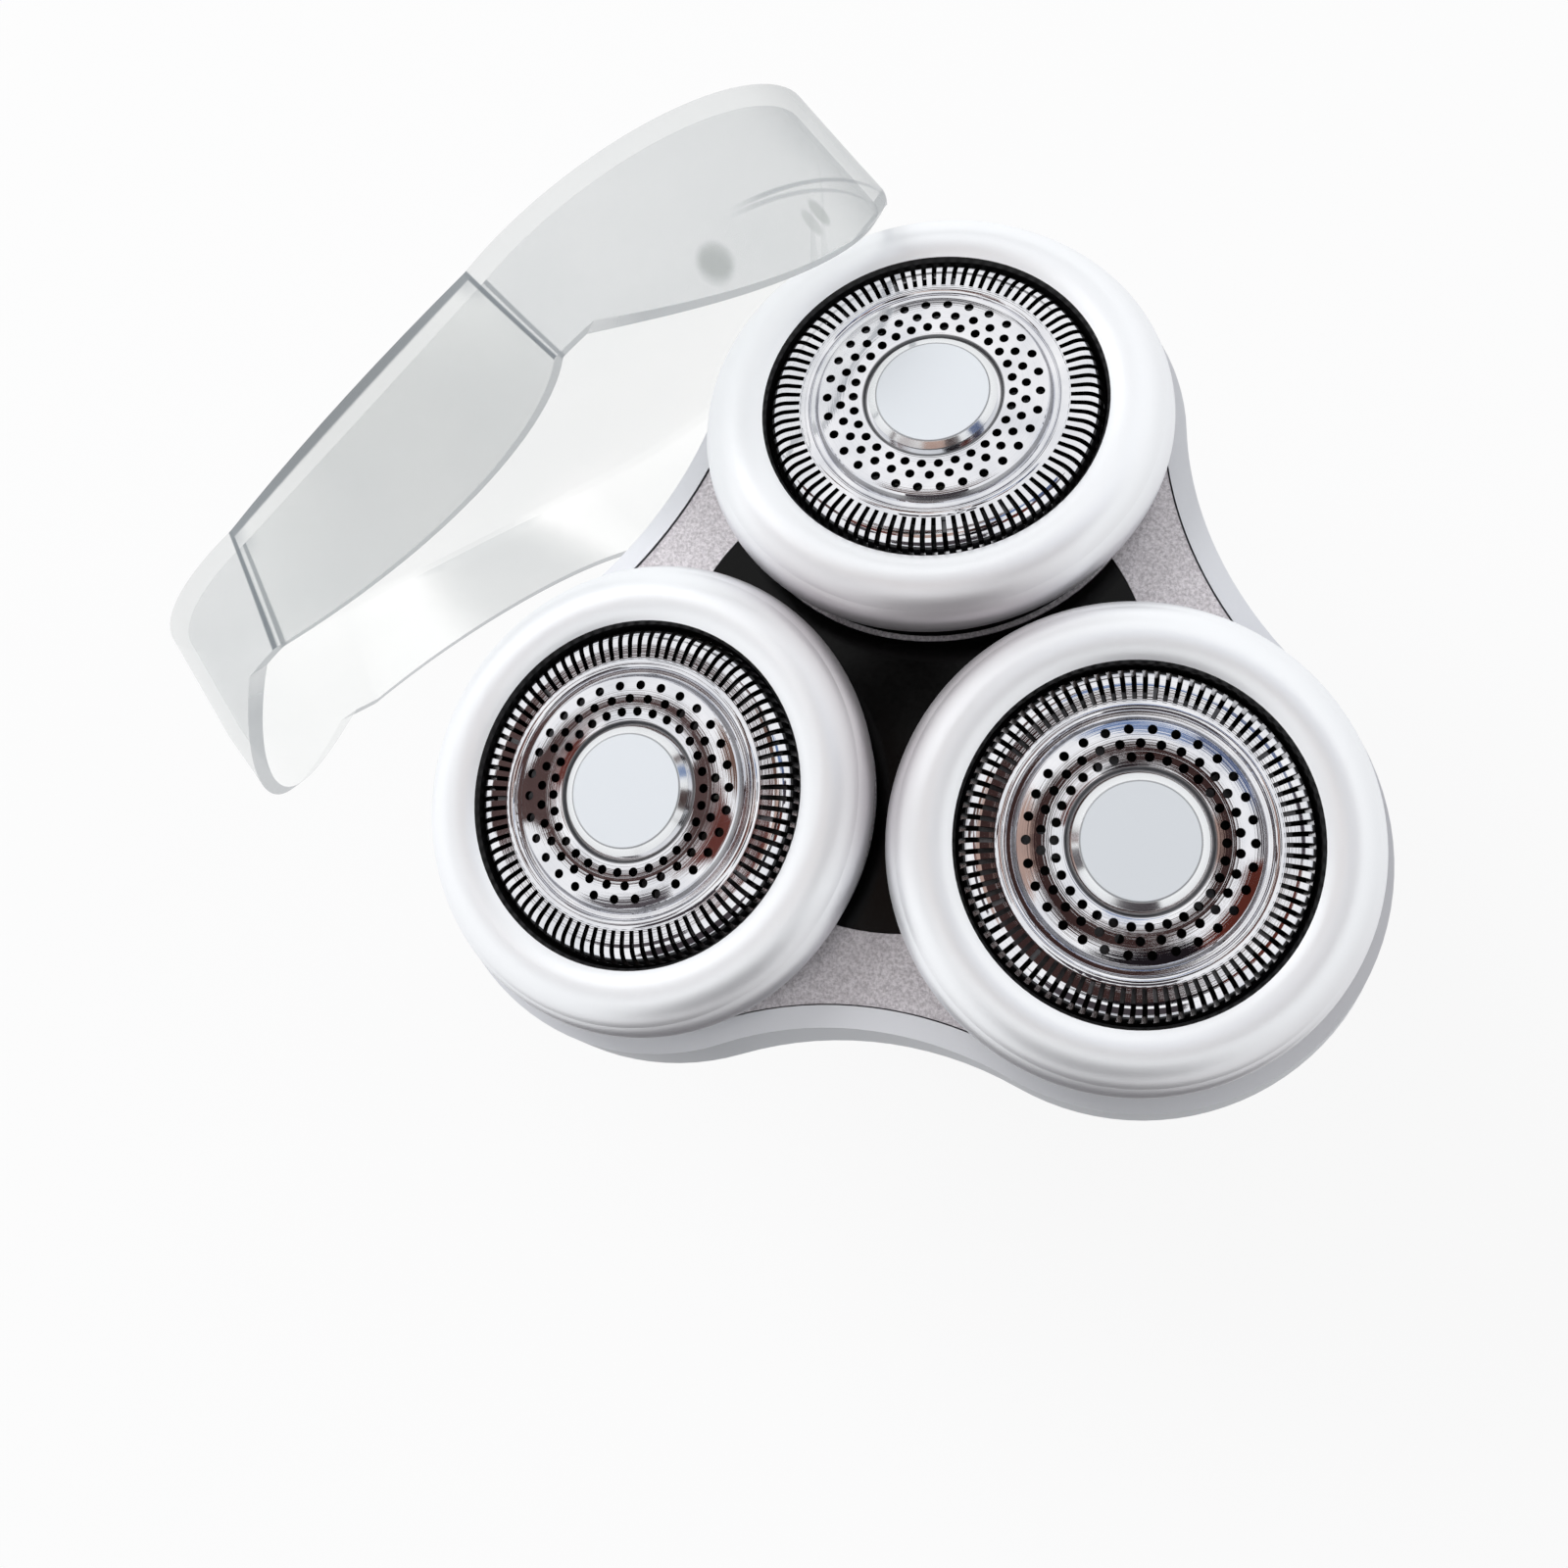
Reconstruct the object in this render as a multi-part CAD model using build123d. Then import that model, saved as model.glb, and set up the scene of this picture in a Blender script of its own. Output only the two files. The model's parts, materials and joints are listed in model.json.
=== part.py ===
from build123d import *
from math import acos, cos, pi, radians, sin, sqrt, tan
import os

# Rotary shaver head with three tilting ring heads on a trefoil housing, a coupling neck under it,
# and its translucent protective cap, which is taken off and stands leaning beside the head.
# Millimetres. The origin is the centre of the coupling's open end, on the surface; +Z is up.

# Driving dimensions: layout of the three heads
ring_plane_z = 54.0          # height of the rings' inner edges above the coupling's end
head_tilt = 9.8              # each ring leans outward by this angle
ring_spacing = 1.184         # room between two neighbouring rings at their widest
first_azimuth = 90.0         # where the first ring head stands, seen from above

# Ring heads, in each head's own frame: z = 0 is the ring's inner edge
ring_inner_r = 11.05
ring_outer_r = 15.3
ring_top = 0.55              # crown of the dome above its inner edge
ring_crown_r = 12.9
ring_wide_z = -2.0           # height of the ring's widest line
ring_bottom_z = -3.2
ring_bottom_r = 14.7
guard_gap = 0.25             # black gap between guard and ring
guard_lift = 0.5             # slotted face above the ring's inner edge
guard_skin = 0.4
guard_wall_z = -2.6          # lower end of the guard's side wall
guard_flange_r = 11.5
guard_flange_t = 0.6
guard_shoulder_r = 1.2       # rounding from the slotted face into the side wall
slot_count = 90
slot_inner_r = 8.75
slot_inner_w = 0.29
slot_outer_w = 0.37
slot_side_drop = 1.55        # how far the slots run down the side
ridge_r = 8.35
ridge_w = 0.35
ridge_h = 0.18
face_outer_r = 7.75          # raised, pierced chrome face
face_lift = 0.55             # above the slotted face
face_slope_w = 0.35
face_crown = 0.09
hole_r = 0.30
hole_rows = (6.85, 5.98, 5.15)
holes_per_row = 30
badge_r = 4.15               # plain disc in the middle
badge_t = 0.6
badge_bevel_w = 0.55
badge_bevel_h = 0.22
badge_groove = 0.25
badge_stem_r = 1.6
float_travel = 1.0           # how far a guard can be pressed in
chamber_wall = 0.9
chamber_gap = 0.4            # guard flange to chamber wall
chamber_floor_z = -7.2
chamber_floor_t = 0.7
chamber_rim_w = 0.5
pivot_z = -6.6               # tilt axis below the ring's inner edge
pivot_pin_r = 0.8
pivot_pin_gap = 0.04
pivot_pin_reach = 14.2

# Cutter and spindle
blade_count = 15
blade_t = 0.35
blade_gap = 0.1              # blade tips under the slotted skin
blade_inner_r = 8.8
blade_outer_r = 9.6
cutter_disc_z = -2.5
cutter_disc_t = 0.5
cutter_hub_r = 3.8
cutter_hub_top = -2.0
ball_r = 1.5
wing_r = 0.45
wing_reach = 2.3
socket_gap = 0.5
socket_slot_gap = 0.25
socket_below = 2.0           # how far the socket wraps below the ball's centre
spindle_r = 1.0
plunger_flat_r = 1.5         # half across the flats of the six-sided plunger
plunger_gap = 0.1
plunger_h = 2.7

# Trefoil housing
lobe_margin = 0.7            # the housing's lobes reach past the rings by this
lobe_set_in = 0.55           # and are centred this much nearer the middle
valley_r = 24.0
plate_depth = 4.2            # top surface of the housing below the rings' inner edges
band_h = 3.7                 # upright side band
shell_wall = 1.4
frame_t = 1.6
frame_gap = 0.1
pocket_gap = 0.4             # chamber rim to pocket wall
pocket_wall = 0.85
cover_set_in = 2.65          # black centre cover's reach on the webs, short of the head distance
cover_t = 0.8
waist_z = ring_plane_z - 19.0    # sections of the tapering underside
waist_lobe_r = 14.6
waist_distance = 10.5
neck_top_z = ring_plane_z - 26.0
neck_top_r = 16.4
floor_t = 1.6

# Neck and coupling
neck_bottom_r = 15.2
neck_bore_r = 12.5
neck_bore_depth = 8.0
neck_inner_r = 11.5
bulkhead_z = 14.0
bulkhead_t = 1.6
collar_h = 5.0
collar_t = 0.8
gasket_r = 14.0
gasket_w = 1.0
gasket_t = 0.8
lug_count = 3
lug_w = 5.0
lug_h = 1.6
lug_reach = 1.0
lug_z = 2.6

# Gear train
central_teeth = 38
driven_teeth = 20
gear_z = ring_plane_z - 16.4
gear_t = 2.7
tooth_share = 0.43           # tooth thickness as a share of the pitch
gear_plate_z = gear_z - 4.0
gear_plate_t = 3.2
gear_cover_z = gear_z + 3.7
gear_cover_t = 1.0
journal_r = 2.2
journal_gap = 0.05
hub_r = 3.0
shaft_r = 2.0
shaft_flat = 1.5
bush_t = 1.5
bush_flange_w = 1.0
bush_flange_t = 0.6
socket_r = 4.5
socket_h = 4.6
socket_star_r = 2.6
chassis_screw_distance = 15.5
screw_shank_r = 0.9
screw_head_r = 1.8
screw_head_h = 1.3
screw_slot_w = 0.5
post_r = 2.3
neck_screw_distance = 10.5
seal_r = 2.8
seal_t = 0.8
seal_gap = 0.08
spring_wire_r = 0.16
spring_coil_r = 1.15
spring_h = 2.6
spring_turns = 4

# Protective cap, which fits over the rings and rests on the housing's rim
cap_wall = 1.0
cap_margin = 1.0             # the cap's lobes reach past the housing's lobes by this
cap_shift = 0.3              # and are centred this much further out
cap_top_above_rings = 3.9
cap_taper = 0.7
cap_valley_rim = 19.6        # outer face of the valley at the rim, from the cap's axis
cap_valley_top = 26.0        # outer face of the side between two lobes at the closed face
cap_rim_half_angle = 60.1
cap_top_half_angle = 67.5
cap_side_depth = 8.6         # closed face to the level rim between two lobes
cap_lip = 4.75               # how much further the lobes' rounded lips reach
cap_lip_half_angle = 48.0    # and how far round each lobe
cap_axis_azimuth = 132.5     # where the cap's closed face points as it stands beside the head
cap_axis_rise = 10.8
cap_roll = 1.5
cap_x = -27.6
cap_y = 19.6

parts_dir = "parts"
os.makedirs(parts_dir, exist_ok=True)
nodes = {}

# Sizes worked out from the driving dimensions
head_distance = (2 * ring_outer_r + ring_spacing) / sqrt(3)
head_azimuths = {name: first_azimuth + 120 * k for k, name in enumerate(("top", "left", "right"))}
web_azimuths = [azimuth + 60 for azimuth in head_azimuths.values()]
sphere_centre_z = ring_plane_z - head_distance / tan(radians(head_tilt))
plate_sphere_r = head_distance / sin(radians(head_tilt)) - plate_depth
gear_distance = head_distance + pivot_z * sin(radians(head_tilt))
pivot_height = ring_plane_z + pivot_z * cos(radians(head_tilt))
module = 2 * gear_distance / (central_teeth + driven_teeth)
guard_r = ring_inner_r - guard_gap
chamber_inner_r = guard_flange_r + chamber_gap
chamber_outer_r = chamber_inner_r + chamber_wall
pocket_r = chamber_outer_r + chamber_rim_w + pocket_gap
lobe_r = ring_outer_r + lobe_margin
lobe_distance = head_distance - lobe_set_in
cover_r = head_distance - cover_set_in
cap_lobe_r = lobe_r + cap_margin
cap_lobe_distance = lobe_distance + cap_shift
shaft_bottom_z = neck_bore_depth + 1.0
shaft_top_z = gear_cover_z + gear_cover_t + bush_flange_t
lobe_top_z = sphere_centre_z + sqrt(plate_sphere_r**2 - (lobe_distance + lobe_r) ** 2)
band_bottom_z = lobe_top_z - band_h
cap_top_z = ring_plane_z + cap_top_above_rings
cap_rim_z = cap_top_z - cap_side_depth


def polar(radius, azimuth):
    return radius * cos(radians(azimuth)), radius * sin(radians(azimuth))


def revolved(points):
    """Solid of revolution about Z from (radius, height) points."""
    face = make_face(Polyline([(r, 0, z) for r, z in points], close=True))
    return revolve(face, Axis.Z, 360)


def disc(radius, z_low, z_high):
    return Pos(0, 0, (z_low + z_high) / 2) * Cylinder(radius, z_high - z_low)


def tube(inner, outer, z_low, z_high):
    return disc(outer, z_low, z_high) - disc(inner, z_low - 1, z_high + 1)


def sphere_dome(radius):
    """Ball below the domed top surface, centred where the three head axes meet."""
    return Pos(0, 0, sphere_centre_z) * Sphere(radius)


def trefoil_face(radius, distance, valley, z):
    """Three lobe arcs joined by three tangent valley arcs."""
    half = distance * sin(radians(60))
    far = sqrt((radius + valley) ** 2 - half**2) + distance / 2
    edges = []
    for azimuth in head_azimuths.values():
        lobe = Vector(*polar(distance, azimuth), z)
        before = Vector(*polar(far, azimuth - 60), z)
        after = Vector(*polar(far, azimuth + 60), z)
        start = lobe + (before - lobe) * (radius / (radius + valley))
        middle = Vector(*polar(distance + radius, azimuth), z)
        end = lobe + (after - lobe) * (radius / (radius + valley))
        dip = Vector(*polar(far - valley, azimuth + 60), z)
        lobe_after = Vector(*polar(distance, azimuth + 120), z)
        next_start = lobe_after + (after - lobe_after) * (radius / (radius + valley))
        edges.append(ThreePointArc(start, middle, end))
        edges.append(ThreePointArc(end, dip, next_start))
    return make_face(edges)


def trefoil_prism(radius, distance, valley, z_low, z_high):
    return extrude(trefoil_face(radius, distance, valley, z_low), z_high - z_low, (0, 0, 1))


def underside(inset):
    """Tapering body from the side band down to the round neck, inset by a wall."""
    sections = [
        trefoil_face(lobe_r - inset, lobe_distance, valley_r + inset, band_bottom_z),
        trefoil_face(waist_lobe_r - inset, waist_distance, valley_r + inset, waist_z),
        trefoil_face(neck_top_r - 1 - inset, 1.0, valley_r + inset, neck_top_z),
    ]
    return loft(sections)


def inside_shell(gap):
    """Room inside the housing's walls, less a gap."""
    inset = shell_wall + gap
    upper = trefoil_prism(lobe_r - inset, lobe_distance, valley_r + inset, band_bottom_z - 0.01, ring_plane_z)
    return upper + underside(inset)


def at_head(azimuth):
    """Location of a head's own frame."""
    x, y = polar(head_distance, azimuth)
    return Pos(x, y, ring_plane_z) * Rot(0, 0, azimuth) * Rot(0, head_tilt, 0)


def at_spindle(azimuth):
    """Upright location of a spindle and its gear."""
    x, y = polar(gear_distance, azimuth)
    return Pos(x, y, 0) * Rot(0, 0, azimuth)


def screw(z_head, z_tip):
    """Slotted pan-head screw, head seated at z_head."""
    body = disc(screw_head_r, z_head, z_head + screw_head_h) + disc(screw_shank_r, z_tip, z_head)
    slot = Box(2 * screw_head_r + 1, screw_slot_w, screw_head_h)
    return body - Pos(0, 0, z_head + screw_head_h) * slot


def involute_gear(teeth, z_low, z_high):
    """Spur gear with true involute flanks and some backlash, one tooth on the +X axis."""
    pitch_r = module * teeth / 2
    base_r = pitch_r * cos(radians(20))
    root_r = pitch_r - 1.2 * module
    tip_r = pitch_r + 0.9 * module
    flank_steps = 4

    def roll(r):
        a = acos(min(1.0, base_r / r))
        return tan(a) - a

    half = tooth_share * pi / teeth + roll(pitch_r)
    start_r = max(base_r, root_r)
    radii = [start_r + (tip_r - start_r) * i / flank_steps for i in range(flank_steps + 1)]
    outline = []
    for k in range(teeth):
        middle = 2 * pi * k / teeth
        low = [(root_r, middle - half)] + [(r, middle - half + roll(r)) for r in radii]
        high = [(r, 2 * middle - a) for r, a in reversed(low)]
        outline += [(r * cos(a), r * sin(a), z_low) for r, a in low + high]
    return extrude(make_face(Polyline(outline, close=True)), z_high - z_low, (0, 0, 1))


def make_ring():
    """Satin ring: a dome with a small bevel at its bore and a recess for the guard's flange."""
    bevel = 0.2
    recess_z = guard_wall_z + guard_flange_t + 0.05
    crown = ThreePointArc(
        (ring_inner_r + bevel, 0, 0.12),
        (ring_crown_r, 0, ring_top),
        (ring_outer_r - 0.55, 0, ring_wide_z + 1.3),
    )
    edges = [
        Line((ring_inner_r, 0, recess_z), (ring_inner_r, 0, -bevel)),
        Line((ring_inner_r, 0, -bevel), crown @ 0),
        crown,
        ThreePointArc(crown @ 1, (ring_outer_r - 0.12, 0, ring_wide_z + 0.6), (ring_outer_r, 0, ring_wide_z)),
        ThreePointArc(
            (ring_outer_r, 0, ring_wide_z),
            (ring_outer_r - 0.1, 0, (ring_wide_z + ring_bottom_z) / 2),
            (ring_bottom_r, 0, ring_bottom_z),
        ),
        Line((ring_bottom_r, 0, ring_bottom_z), (chamber_inner_r, 0, ring_bottom_z)),
        Line((chamber_inner_r, 0, ring_bottom_z), (chamber_inner_r, 0, recess_z)),
        Line((chamber_inner_r, 0, recess_z), (ring_inner_r, 0, recess_z)),
    ]
    return revolve(make_face(edges), Axis.Z, 360)


def make_chamber():
    """Hair chamber: a cup under the ring with two pivot pins on the tilt axis."""
    cup = revolved([
        (cutter_hub_r + 0.45, chamber_floor_z),
        (chamber_inner_r, chamber_floor_z),
        (chamber_inner_r, ring_bottom_z),
        (chamber_outer_r + chamber_rim_w, ring_bottom_z),
        (chamber_outer_r + chamber_rim_w, ring_bottom_z - 0.8),
        (chamber_outer_r, ring_bottom_z - 1.3),
        (chamber_outer_r, chamber_floor_z - chamber_floor_t),
        (cutter_hub_r + 0.45, chamber_floor_z - chamber_floor_t),
    ])
    pin_length = pivot_pin_reach - chamber_outer_r + chamber_wall / 2
    for side in (-1, 1):
        middle = side * (pivot_pin_reach - pin_length / 2)
        cup += Pos(0, middle, pivot_z) * Rot(90, 0, 0) * Cylinder(pivot_pin_r, pin_length)
    return cup


def profile(parts):
    """Edges in the XZ plane from (radius, height) points; three points make an arc."""
    edges = []
    for points in parts:
        points = [(r, 0, z) for r, z in points]
        edges.append(Line(*points) if len(points) == 2 else ThreePointArc(*points))
    return edges


def make_guard():
    """Polished guard: slotted rounded rim, ridge, crowned pierced face and a groove round the disc."""
    top = guard_lift
    face = top + face_lift
    face_start = badge_r + badge_groove + 0.12
    face_end = face_outer_r - face_slope_w
    groove_z = top - 0.1
    round_r = guard_r - guard_shoulder_r
    round_z = top - guard_shoulder_r
    inner_round = guard_shoulder_r - guard_skin
    half = sqrt(0.5)
    under = face - guard_skin - 0.12
    outline = profile([
        [(0, face - 0.3), (badge_r + badge_groove, face - 0.3)],
        [(badge_r + badge_groove, face - 0.3), (face_start, face - face_crown)],
        [(face_start, face - face_crown), ((face_start + face_end) / 2, face), (face_end, face - face_crown)],
        [(face_end, face - face_crown), (face_outer_r, groove_z)],
        [(face_outer_r, groove_z), (ridge_r - ridge_w, groove_z)],
        [(ridge_r - ridge_w, groove_z), (ridge_r, top + ridge_h), (ridge_r + ridge_w, top)],
        [(ridge_r + ridge_w, top), (round_r, top)],
        [
            (round_r, top),
            (round_r + half * guard_shoulder_r, round_z + half * guard_shoulder_r),
            (guard_r, round_z),
        ],
        [(guard_r, round_z), (guard_r, guard_wall_z + guard_flange_t)],
        [(guard_r, guard_wall_z + guard_flange_t), (guard_flange_r, guard_wall_z + guard_flange_t)],
        [(guard_flange_r, guard_wall_z + guard_flange_t), (guard_flange_r, guard_wall_z)],
        [(guard_flange_r, guard_wall_z), (guard_r - guard_skin, guard_wall_z)],
        [(guard_r - guard_skin, guard_wall_z), (guard_r - guard_skin, round_z)],
        [
            (guard_r - guard_skin, round_z),
            (round_r + half * inner_round, round_z + half * inner_round),
            (round_r, top - guard_skin),
        ],
        [(round_r, top - guard_skin), (face_outer_r - 0.2, top - guard_skin - 0.1)],
        [(face_outer_r - 0.2, top - guard_skin - 0.1), (face_end - 0.3, under)],
        [(face_end - 0.3, under), (badge_r - 0.4, under)],
        [(badge_r - 0.4, under), (badge_r - 0.4, under - 0.3)],
        [(badge_r - 0.4, under - 0.3), (0, under - 0.3)],
        [(0, under - 0.3), (0, face - 0.3)],
    ])
    body = revolve(make_face(outline), Axis.Z, 360)
    slot = make_face(Polyline([
        (slot_inner_r, -slot_inner_w / 2, 0),
        (guard_r + 1, -slot_outer_w / 2, 0),
        (guard_r + 1, slot_outer_w / 2, 0),
        (slot_inner_r, slot_inner_w / 2, 0),
    ], close=True))
    slot = Pos(0, 0, top - slot_side_drop) * extrude(slot, slot_side_drop + 1, (0, 0, 1))
    step = 360 / slot_count
    cutters = [Rot(0, 0, step * k) * slot for k in range(slot_count)]
    hole = disc(hole_r, 0, face + 1)
    turn = 360 / holes_per_row
    for row, radius in enumerate(hole_rows):
        for k in range(holes_per_row):
            cutters.append(Rot(0, 0, turn * (k + row / 2)) * Pos(radius, 0, 0) * hole)
    stem = disc(badge_stem_r, face - 2, face + 1)
    return (body - cutters) - stem


def make_badge():
    """Plain bevelled disc with a stem through the middle of the guard."""
    seat = guard_lift + face_lift - 0.3
    return revolved([
        (0, seat - guard_skin - 0.12),
        (badge_stem_r, seat - guard_skin - 0.12),
        (badge_stem_r, seat),
        (badge_r, seat),
        (badge_r, seat + badge_t - badge_bevel_h),
        (badge_r - badge_bevel_w, seat + badge_t),
        (0, seat + badge_t),
    ])


def make_cutter():
    """Cutter wheel: a spoked disc whose rim carries upright blades under the slots."""
    rim_inner = blade_inner_r - 0.9
    wheel = tube(rim_inner, blade_outer_r, cutter_disc_z, cutter_disc_z + cutter_disc_t)
    wheel += tube(cutter_hub_r - 1.2, cutter_hub_r + 0.6, cutter_disc_z, cutter_disc_z + cutter_disc_t)
    spoke_length = rim_inner - cutter_hub_r
    spoke = Pos(cutter_hub_r + spoke_length / 2, 0, cutter_disc_z + cutter_disc_t / 2)
    spoke *= Box(spoke_length + 0.8, 1.6, cutter_disc_t)
    for k in range(5):
        wheel += Rot(0, 0, 72 * k) * spoke
    blade_top = guard_lift - guard_skin - blade_gap
    blade_h = blade_top - cutter_disc_z - cutter_disc_t / 2
    blade = Box(blade_outer_r - blade_inner_r, blade_t, blade_h)
    blade = Pos((blade_inner_r + blade_outer_r) / 2, 0, blade_top - blade_h / 2) * blade
    for k in range(blade_count):
        wheel += Rot(0, 0, 360 * k / blade_count) * blade
    return wheel


def make_cutter_hub():
    """Hub clipped in the cutter, with a socket that takes the spindle's ball and wings."""
    low = pivot_z - socket_below
    high = pivot_z + ball_r + socket_gap + float_travel
    hub = disc(cutter_hub_r, low, cutter_disc_z)
    hub += disc(cutter_hub_r - 1.2, cutter_disc_z, cutter_hub_top)
    hub -= disc(ball_r + socket_gap, low - 1, high)
    slot_h = high - low + 1
    slot = Box(2 * (wing_r + socket_slot_gap), 2 * (wing_reach + 0.7), slot_h)
    return hub - Pos(0, 0, low - 1 + slot_h / 2) * slot


def make_spindle(turn):
    """Sprung spindle: six-sided plunger turned like its gear, round stem, ball with two drive wings."""
    low = gear_z + 0.9
    hexagon = RegularPolygon(plunger_flat_r, 6, major_radius=False, rotation=turn)
    body = Pos(0, 0, low) * extrude(hexagon, plunger_h)
    body += disc(spindle_r, low + plunger_h - 0.1, pivot_height)
    body += Pos(0, 0, pivot_height) * Sphere(ball_r)
    body += Pos(0, 0, pivot_height) * Rot(90, 0, 0) * Cylinder(wing_r, 2 * wing_reach)
    return body


def make_driven_gear():
    """Driven gear with a journal below and a six-sided bore for the sprung spindle."""
    journal_z = gear_plate_z + 1.4
    gear = involute_gear(driven_teeth, gear_z, gear_z + gear_t)
    gear += disc(hub_r, gear_z + gear_t - 0.1, gear_cover_z - 0.3)
    gear += disc(hub_r, gear_plate_z + gear_plate_t + 0.1, gear_z + 0.1)
    gear += disc(journal_r, journal_z + 0.05, gear_z)
    bore_low = gear_z + 0.9 - spring_h
    bore = extrude(RegularPolygon(plunger_flat_r + plunger_gap, 6, major_radius=False), gear_t + 6)
    return gear - Pos(0, 0, bore_low) * bore


def make_spindle_spring():
    """Small compression spring under the spindle's plunger."""
    low = gear_z + 0.9 - spring_h + spring_wire_r + 0.02
    height = spring_h - 2 * spring_wire_r - 0.04
    path = Helix(height / spring_turns, height, spring_coil_r)
    wire = sweep(Plane(path @ 0, z_dir=path % 0) * Circle(spring_wire_r), path)
    return Pos(0, 0, low) * wire


def make_housing():
    """Outer shell: side band under the domed rim, tapering underside, floor and screw posts."""
    top = trefoil_prism(lobe_r, lobe_distance, valley_r, band_bottom_z, ring_plane_z)
    outer = (top & sphere_dome(plate_sphere_r)) + underside(0)
    inner = inside_shell(0) - disc(neck_top_r + 2, neck_top_z - 1, neck_top_z + floor_t)
    shell = outer - inner
    shell -= disc(5.0, neck_top_z - 1, neck_top_z + floor_t + 1)
    for azimuth in web_azimuths:
        x, y = polar(chassis_screw_distance, azimuth)
        post = Pos(x, y, 0) * disc(post_r, neck_top_z + 0.5, gear_plate_z)
        shell += post & underside(0.2)
        shell -= Pos(x, y, 0) * disc(screw_shank_r, gear_plate_z - 3, gear_plate_z + 1)
        x, y = polar(neck_screw_distance, azimuth + 60)
        shell -= Pos(x, y, 0) * disc(screw_shank_r, neck_top_z - 1, neck_top_z + floor_t + 1)
    return shell


def make_top_frame():
    """Domed web plate with three pocket tubes, whose walls hold the pivot pins."""
    inset = shell_wall + frame_gap
    floor_z = gear_cover_z + gear_cover_t
    outline = trefoil_prism(lobe_r - inset, lobe_distance, valley_r + inset, floor_z, ring_plane_z)
    dome = sphere_dome(plate_sphere_r - 0.15)
    plate = (outline & dome) - sphere_dome(plate_sphere_r - 0.15 - frame_t)
    low = gear_cover_z + gear_cover_t
    for azimuth in head_azimuths.values():
        pocket = disc(pocket_r + pocket_wall, low, ring_plane_z)
        plate += (at_spindle(azimuth) * pocket) & dome & outline
    plate -= disc(shaft_r + bush_t + bush_flange_w + 0.5, low - 1, low + 2.5)
    for azimuth in head_azimuths.values():
        plate -= at_spindle(azimuth) * disc(pocket_r, low - 1, ring_plane_z + 1)
        pin = Rot(90, 0, 0) * Cylinder(pivot_pin_r + pivot_pin_gap, 2 * pivot_pin_reach + 4)
        plate -= at_spindle(azimuth) * Pos(0, 0, pivot_height) * pin
    return plate - centre_cover_blank(frame_gap / 2, cover_t + frame_gap)


def centre_cover_blank(grow, depth):
    """Black cover's form: three arms between the pockets, down to a given depth."""
    dome = sphere_dome(plate_sphere_r - 0.15 + (1 if grow else 0))
    blank = disc(cover_r + grow, ring_plane_z - 12, ring_plane_z) & dome
    blank -= sphere_dome(plate_sphere_r - 0.15 - depth)
    for azimuth in head_azimuths.values():
        blank -= at_spindle(azimuth) * disc(pocket_r + 0.4 - grow, 0, ring_plane_z + 1)
    return blank


def make_gear_plate():
    """Chassis plate with journal bores, spacer posts and a hole for the central shaft."""
    slab = disc(40, gear_plate_z, gear_plate_z + gear_plate_t)
    plate = inside_shell(frame_gap) & slab
    plate -= disc(shaft_r + 0.6, 0, 60)
    for azimuth in head_azimuths.values():
        plate -= at_spindle(azimuth) * disc(journal_r + journal_gap, gear_plate_z + 1.4, 60)
    for azimuth in web_azimuths:
        x, y = polar(chassis_screw_distance, azimuth)
        plate += Pos(x, y, 0) * disc(post_r - 0.3, gear_plate_z + gear_plate_t - 0.1, gear_cover_z)
        plate -= Pos(x, y, 0) * disc(screw_shank_r, 0, 60)
    return plate


def make_gear_cover():
    """Lid over the gears with holes for the spindles and the upper bush."""
    slab = disc(40, gear_cover_z, gear_cover_z + gear_cover_t)
    cover = inside_shell(frame_gap) & slab
    cover -= disc(shaft_r + bush_t, 0, 60)
    for azimuth in head_azimuths.values():
        cover -= at_spindle(azimuth) * disc(spindle_r + 0.5, 0, 60)
    for azimuth in web_azimuths:
        cover -= Pos(*polar(chassis_screw_distance, azimuth), 0) * disc(screw_shank_r, 0, 60)
    return cover


def make_neck():
    """Round neck with a stepped bore at its end, a bulkhead for the lower bush and screw bosses."""
    neck = revolved([
        (0, 0),
        (neck_bottom_r, 0),
        (neck_bottom_r, collar_h),
        (neck_top_r, neck_top_z),
        (0, neck_top_z),
    ])
    neck -= disc(neck_bore_r, -1, neck_bore_depth)
    neck -= disc(neck_inner_r, neck_bore_depth - 1, bulkhead_z)
    hollow = disc(neck_bore_r, bulkhead_z + bulkhead_t, neck_top_z - floor_t)
    for azimuth in web_azimuths:
        x, y = polar(neck_screw_distance, azimuth + 60)
        hollow -= Pos(x, y, 0) * disc(post_r, neck_top_z - 7, neck_top_z)
    neck -= hollow
    neck -= disc(shaft_r + bush_t, bulkhead_z - 1, bulkhead_z + bulkhead_t + 1)
    neck -= disc(5.0, neck_top_z - floor_t - 1, neck_top_z + 1)
    neck -= tube(gasket_r - gasket_w, gasket_r, neck_top_z - gasket_t, neck_top_z + 1)
    for azimuth in web_azimuths:
        x, y = polar(neck_screw_distance, azimuth + 60)
        neck -= Pos(x, y, 0) * disc(screw_shank_r, neck_top_z - 5.5, neck_top_z + 1)
    return neck


def make_collar():
    """Black coupling collar round the neck's end, with bayonet lugs."""
    collar = tube(neck_bottom_r, neck_bottom_r + collar_t, 0, collar_h)
    for azimuth in web_azimuths[:lug_count]:
        lug = Box(lug_reach + 0.4, lug_w, lug_h)
        lug = Pos(neck_bottom_r + collar_t + lug_reach / 2 - 0.2, 0, lug_z) * lug
        collar += Rot(0, 0, azimuth) * lug
    return collar


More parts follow.
